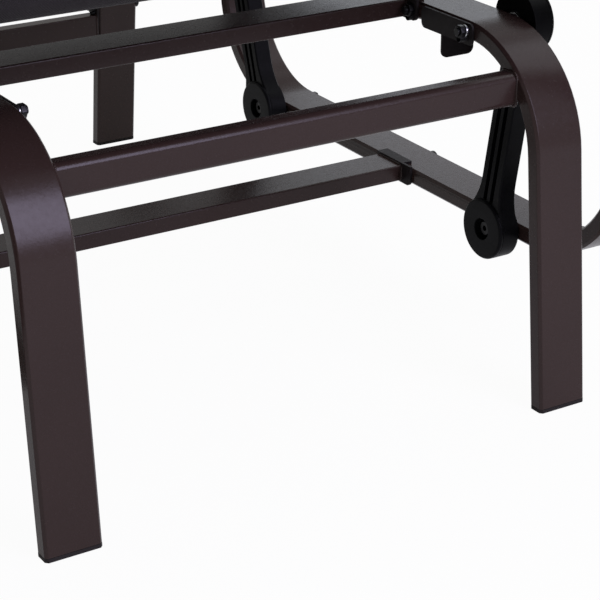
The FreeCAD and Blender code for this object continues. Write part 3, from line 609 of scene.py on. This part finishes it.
def tab_x(column):
    """Distance of a tab's column from the middle, up to the end of the front tube."""
    kind, (_, step) = column
    if kind == "edge":
        return wrap_half + (rail_half - wrap_half) * step
    x = rail_half + TAB_STEP * (step + 1)
    if x > tab_end + TAB_STEP:
        return None
    return min(x, tab_end)


def tab_point(row, column):
    """A point of the two tabs that carry the front wrap past the rails."""
    row_kind, row_at = row
    x = tab_x(column)
    if x is None or row_kind == "top":
        return None
    if row_kind == "run":
        angle = -row_at / wrap_radius
        if row_at > TAB_BACK:
            return None
    else:
        angle = end_hem(wrap_half, False)[row_at][2] if row_at < WRAP_STEPS else math.tau
        if angle > TAB_UNDER:
            return None
    _, along, sitter = rail_at(0.0)
    reach = along * -math.sin(angle) + sitter * math.cos(angle)
    return front_axis + reach * wrap_radius + Vector((column[1][0] * x, 0, 0))


def sling_point(row, column):
    """A point of the cloth, or none where the corners are cut away."""
    row_kind, row_at = row
    column_kind, column_at = column
    if column_kind != "panel":
        tab = tab_point(row, column)
        if tab is not None:
            return tab
    if row_kind == "run":
        if column_kind == "panel":
            return panel_point(row_at, column_at)
        if not HEM_GAP - SAME_RUN <= row_at <= whole - HEM_GAP + SAME_RUN:
            return None
        sign, step = column_at
        if column_kind == "edge":
            _, edge, _ = panel_edge(row_at)
            return panel_point(row_at, sign * (wrap_half + (edge - wrap_half) * step))
        out, height, _ = side_hem(row_at)[step]
        point, _, sitter = rail_at(row_at)
        return point + sitter * height + Vector((sign * (rail_half + out), 0, 0))
    if column_kind != "panel":
        return None
    at_top = row_kind == "top"
    out, height, _ = end_hem(column_at, at_top)[row_at]
    point, along, sitter = rail_at(whole if at_top else 0.0)
    return point + sitter * height + along * (out if at_top else -out) + Vector((column_at, 0, 0))


def in_hem_cut(row, column):
    """True where the hem is cut away for a piece that leaves the rail."""
    if row[0] != "run" or column[0] != "hem":
        return False
    angle = side_hem(row[1])[column[1][1]][2]
    return any(abs(row[1] - run) < half and angle > start for run, half, start in hem_cuts)


def lengths_along(points):
    """Length from the first point to each one."""
    total = 0.0
    lengths = [total]
    for near, far in zip(points, points[1:]):
        total += (far - near).length
        lengths.append(total)
    return lengths


def make_sling():
    """The cloth as one grid with its weave laid out by length: the piece, its flat size and its area."""
    rows = sling_rows()
    columns = sling_columns()
    centre = ("panel", 0.0)
    waist = next(row for row in rows if row[0] == "run" and row[1] > whole / 4)
    v_at = lengths_along([sling_point(row, centre) for row in rows])
    u_at = lengths_along([sling_point(waist, column) for column in columns])
    verts = []
    index = {}
    places = []
    for row_number, row in enumerate(rows):
        for column_number, column in enumerate(columns):
            point = sling_point(row, column)
            if point is not None:
                index[row_number, column_number] = len(verts)
                verts.append(point)
                places.append((u_at[column_number], v_at[row_number]))
    faces = []
    for row_number in range(len(rows) - 1):
        for column_number in range(len(columns) - 1):
            corners = [(row_number, column_number), (row_number, column_number + 1),
                       (row_number + 1, column_number + 1), (row_number + 1, column_number)]
            if any(corner not in index for corner in corners):
                continue
            if all(in_hem_cut(rows[a], columns[b]) for a, b in corners):
                continue
            faces.append([index[corner] for corner in corners])
    cloth = piece_from("sling_cloth", verts, faces, "seat", "cloth")
    uv_layer = cloth.data.uv_layers.new(name="weave")
    for loop in cloth.data.loops:
        uv_layer.data[loop.index].uv = places[loop.vertex_index]
    area = sum(polygon.area for polygon in cloth.data.polygons)
    thick = cloth.modifiers.new("thickness", "SOLIDIFY")
    thick.thickness = CLOTH
    thick.offset = 0.0
    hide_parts("sling")
    return cloth, (u_at[-1], v_at[-1]), area


def add_stitch(verts, faces, start, end, up):
    """One stitch: a short arched thread whose ends go into the cloth."""
    along = (end - start).normalized()
    aside = along.cross(up)
    faces += tube_faces(len(verts), len(STITCH_PROFILE), STITCH_SIDES, False)
    for share, rise, width in STITCH_PROFILE:
        centre = start.lerp(end, share) + up * (rise * STITCH_RADIUS)
        for step in range(STITCH_SIDES):
            turn = math.tau * step / STITCH_SIDES
            spoke = aside * math.cos(turn) + up * math.sin(turn)
            verts.append(centre + spoke * (STITCH_RADIUS * width))


def make_stitches():
    """Double rows of stitches along the side hems and across the two end hems."""
    verts = []
    faces = []
    seam = HEM_FLAP + HEM_ALLOWANCE / 2

    def sew(place, length):
        """A row of stitches; place gives the run and the x at a length along the row."""
        for number in range(int(length / STITCH_PITCH)):
            start = place(number * STITCH_PITCH)
            end = place(number * STITCH_PITCH + STITCH_LENGTH)
            points = [panel_point(run, x, CLOTH / 2) for run, x in (start, end)]
            add_stitch(verts, faces, *points, rail_at(start[0])[2])

    for offset in STITCH_ROWS:
        for sign in (-1, 1):
            x = sign * (rail_half - seam + offset)
            sew(lambda length: (HEM_GAP + length, x), whole - 2 * HEM_GAP)
        for run in (seam + offset, whole - seam - offset):
            sew(lambda length: (run, length - wrap_half), 2 * wrap_half)
    return piece_from("sling_stitches", verts, faces, "seat", "cloth", thread_finish)


sling_cloth, sling_flat, sling_area = make_sling()
sling_stitches = make_stitches()


# Welds

def spaced(route, step):
    """The points of a closed route, evenly spaced."""
    loop = route + [route[0]]
    lengths = lengths_along(loop)
    count = round(lengths[-1] / step)
    points = []
    spot = 0
    for number in range(count):
        target = lengths[-1] * number / count
        while lengths[spot + 1] < target:
            spot += 1
        share = (target - lengths[spot]) / (lengths[spot + 1] - lengths[spot])
        points.append(loop[spot].lerp(loop[spot + 1], share))
    return points


def add_bead(verts, faces, route, shaky):
    """A closed rippled bead, like overlapping drops laid along the route."""
    points = spaced(route, WELD_STEP)
    count = len(points)
    heart = sum(points, Vector()) / count
    faces += tube_faces(len(verts), count, WELD_SIDES, True)
    wander = 0.0
    for number, point in enumerate(points):
        along = (points[(number + 1) % count] - points[number - 1]).normalized()
        out = point - heart
        out = (out - along * out.dot(along)).normalized()
        across = along.cross(out)
        ripple = (number * WELD_STEP / WELD_RIPPLE) % 1.0
        wander = WANDER_KEPT * wander + (1 - WANDER_KEPT) * shaky.uniform(-WANDER_REACH, WANDER_REACH)
        share = WELD_LEAST + WELD_SWELL * math.sin(math.pi * ripple) + WELD_WANDER * wander
        for step in range(WELD_SIDES):
            turn = math.tau * step / WELD_SIDES
            verts.append(point + (out * math.cos(turn) + across * math.sin(turn)) * (WELD_RADIUS * share))


def bar_end(node, sign):
    """Rounded outline of a crossbar at one end."""
    low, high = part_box(node)
    heart = (low + high) / 2
    corner = min(high.y - low.y, high.z - low.z) * BAR_CORNER_SHARE
    x = high.x if sign > 0 else low.x
    points = []
    for quarter, (y, z) in enumerate(((high.y, high.z), (low.y, high.z), (low.y, low.z), (high.y, low.z))):
        centre = Vector((x, y - math.copysign(corner, y - heart.y), z - math.copysign(corner, z - heart.z)))
        for step in range(BAR_CORNER_STEPS + 1):
            points.append(centre + side((quarter + step / BAR_CORNER_STEPS) * math.pi / 2) * corner)
    return points


def saddle(end, way, radius):
    """Seam of a tube that comes along the way and runs into a tube of its size along X at the end."""
    first = way.orthogonal().normalized()
    second = way.cross(first)
    points = []
    for step in range(SADDLE_STEPS):
        turn = math.tau * step / SADDLE_STEPS
        rim = end - way * SADDLE_START + (first * math.cos(turn) + second * math.sin(turn)) * radius
        gap = rim - end
        gap.x = 0.0
        half = gap.dot(way)
        root = half ** 2 - gap.dot(gap) + radius ** 2
        points.append(rim + way * (-half - math.sqrt(max(root, 0.0))))
    return points


def rail_seams():
    """Seams of the two sling rails on the front and top tubes."""
    low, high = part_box("sling_rail_right")
    radius = (high.x - low.x) / 2
    seams = []
    for sign in (-1, 1):
        aside = Vector((sign * rail_half, 0, 0))
        seams.append(saddle(front_axis + aside, -side(seat_angle), radius))
        seams.append(saddle(top_axis + aside, side(back_angle), radius))
    return seams


def make_welds():
    shaky = random.Random(WELD_SEED)
    bars = {"base": ["front_crossbar", "upper_crossbar", "rear_crossbar"], "seat": ["seat_cross_rail"]}
    for body, nodes in bars.items():
        seams = [bar_end(node, sign) for node in nodes for sign in (-1, 1)]
        if body == "seat":
            seams += rail_seams()
        verts = []
        faces = []
        for seam in seams:
            add_bead(verts, faces, seam, shaky)
        piece_from(body + "_welds", verts, faces, body, "frame_paint")


make_welds()


# Threads

def solids_of(node):
    """Boxes of a fastener node's solids, each about its own axis along X."""
    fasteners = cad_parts[node]
    groups = []
    for vertex in fasteners.data.vertices:
        point = fasteners.matrix_world @ vertex.co
        for group in groups:
            if group[0].x * point.x > 0 and (group[0].yz - point.yz).length < BOLTS_APART:
                group.append(point)
                break
        else:
            groups.append([point])
    boxes = []
    for group in groups:
        low = Vector([min(point[axis] for point in group) for axis in range(3)])
        high = Vector([max(point[axis] for point in group) for axis in range(3)])
        boxes.append((low, high))
    return boxes


def add_thread(verts, faces, axis, start, tip):
    """A helical ridge round a bolt's end."""
    away = math.copysign(1, tip - start)
    turns = abs(tip - start) / THREAD_PITCH - 1
    count = int(turns * THREAD_STEPS) + 1
    first = len(verts)
    width = len(THREAD_PROFILE)
    for number in range(count):
        turn = math.tau * number / THREAD_STEPS
        fade = min(number, count - 1 - number, THREAD_FADE) / THREAD_FADE
        for share, rise in THREAD_PROFILE:
            reach = THREAD_RADIUS + THREAD_RISE * rise * fade
            x = start + away * THREAD_PITCH * (number / THREAD_STEPS + share)
            verts.append(Vector((x, axis.y + reach * math.cos(turn), axis.z + reach * math.sin(turn))))
    for number in range(count - 1):
        for step in range(width - 1):
            corner = first + number * width + step
            faces.append((corner, corner + 1, corner + width + 1, corner + width))


def make_threads():
    """Threads on the bolt ends that stand out of their nuts."""
    pairs = (("base_threads", "upper_pivot_bolts", "upper_pivot_nuts"),
             ("base_bar_threads", "crossbar_bolts", "crossbar_nuts"))
    for name, bolts, nuts in pairs:
        verts = []
        faces = []
        for low, high in solids_of(nuts):
            axis = (low + high) / 2
            for bolt_low, bolt_high in solids_of(bolts):
                spot = (bolt_low + bolt_high) / 2
                if spot.x * axis.x > 0 and (spot.yz - axis.yz).length < BOLTS_APART:
                    face, tip = (low.x, bolt_low.x) if axis.x > 0 else (high.x, bolt_high.x)
                    add_thread(verts, faces, spot, face, tip)
        piece_from(name, verts, faces, "base", "black_hardware")


make_threads()


# Floor, light and camera

def whitened(nodes, lit, white, in_gloss, most):
    """The lit shader, mixed with up to the most of white for the rays that show the background."""
    rays = nodes.add("LightPath").outputs
    mirrored = nodes.math("MULTIPLY", rays["Is Glossy Ray"], in_gloss)
    seen = nodes.math("MAXIMUM", rays["Is Camera Ray"], mirrored)
    seen = nodes.math("MAXIMUM", seen, rays["Is Transmission Ray"])
    share = nodes.math("MULTIPLY", seen, most)
    mixed = nodes.add("MixShader")
    for socket, value in zip(mixed.inputs, (share, lit.outputs[0], white.outputs[0])):
        nodes.put(socket, value)
    return mixed.outputs["Shader"]


def make_floor():
    bpy.ops.mesh.primitive_plane_add(size=FLOOR_SIZE)
    floor = bpy.context.object
    floor.name = "floor"
    material = bpy.data.materials.new("floor")
    material.use_nodes = True
    nodes = Nodes(material.node_tree)
    nodes.tree.nodes.clear()
    matt = nodes.feed(nodes.add("BsdfDiffuse"), Color=FLOOR_COLOUR)
    white = nodes.feed(nodes.add("Emission"), Color=WHITE, Strength=1.0)
    surface = whitened(nodes, matt, white, FLOOR_IN_GLOSS, FLOOR_WHITE)
    nodes.feed(nodes.add("OutputMaterial"), Surface=surface)
    floor.data.materials.append(material)


def make_world():
    world = bpy.data.worlds.new("studio")
    bpy.context.scene.world = world
    world.use_nodes = True
    nodes = Nodes(world.node_tree)
    nodes.tree.nodes.clear()
    soft = nodes.feed(nodes.add("Background"), Color=WHITE, Strength=WORLD_LIGHT)
    white = nodes.feed(nodes.add("Background"), Color=WHITE, Strength=1.0)
    surface = whitened(nodes, soft, white, WORLD_IN_GLOSS, WORLD_WHITE)
    nodes.feed(nodes.add("OutputWorld"), Surface=surface)


def make_lamp(name, place, target, width, height, power, colour):
    lamp = bpy.data.lights.new(name, "AREA")
    lamp.shape = "RECTANGLE"
    lamp.size = width
    lamp.size_y = height
    lamp.energy = power
    lamp.color = colour
    holder = bpy.data.objects.new(name, lamp)
    bpy.context.scene.collection.objects.link(holder)
    holder.location = place
    holder.rotation_euler = (Vector(target) - Vector(place)).to_track_quat("-Z", "Y").to_euler()


def make_camera():
    data = bpy.data.cameras.new("camera")
    data.lens = CAMERA_LENS
    data.sensor_width = CAMERA_SENSOR
    data.clip_start, data.clip_end = CAMERA_CLIP
    camera = bpy.data.objects.new("camera", data)
    bpy.context.scene.collection.objects.link(camera)
    turn = Matrix.Rotation(-math.radians(CAMERA_HEADING), 4, "Z")
    tilt = Matrix.Rotation(math.radians(90 - CAMERA_DOWN), 4, "X")
    roll = Matrix.Rotation(math.radians(CAMERA_ROLL), 4, "Z")
    camera.matrix_world = Matrix.Translation(CAMERA_PLACE) @ turn @ tilt @ roll
    bpy.context.scene.camera = camera


make_floor()
make_world()
for lamp_name, lamp_values in LAMPS.items():
    make_lamp(lamp_name, *lamp_values)
make_camera()

bpy.context.scene.view_settings.view_transform = "Standard"
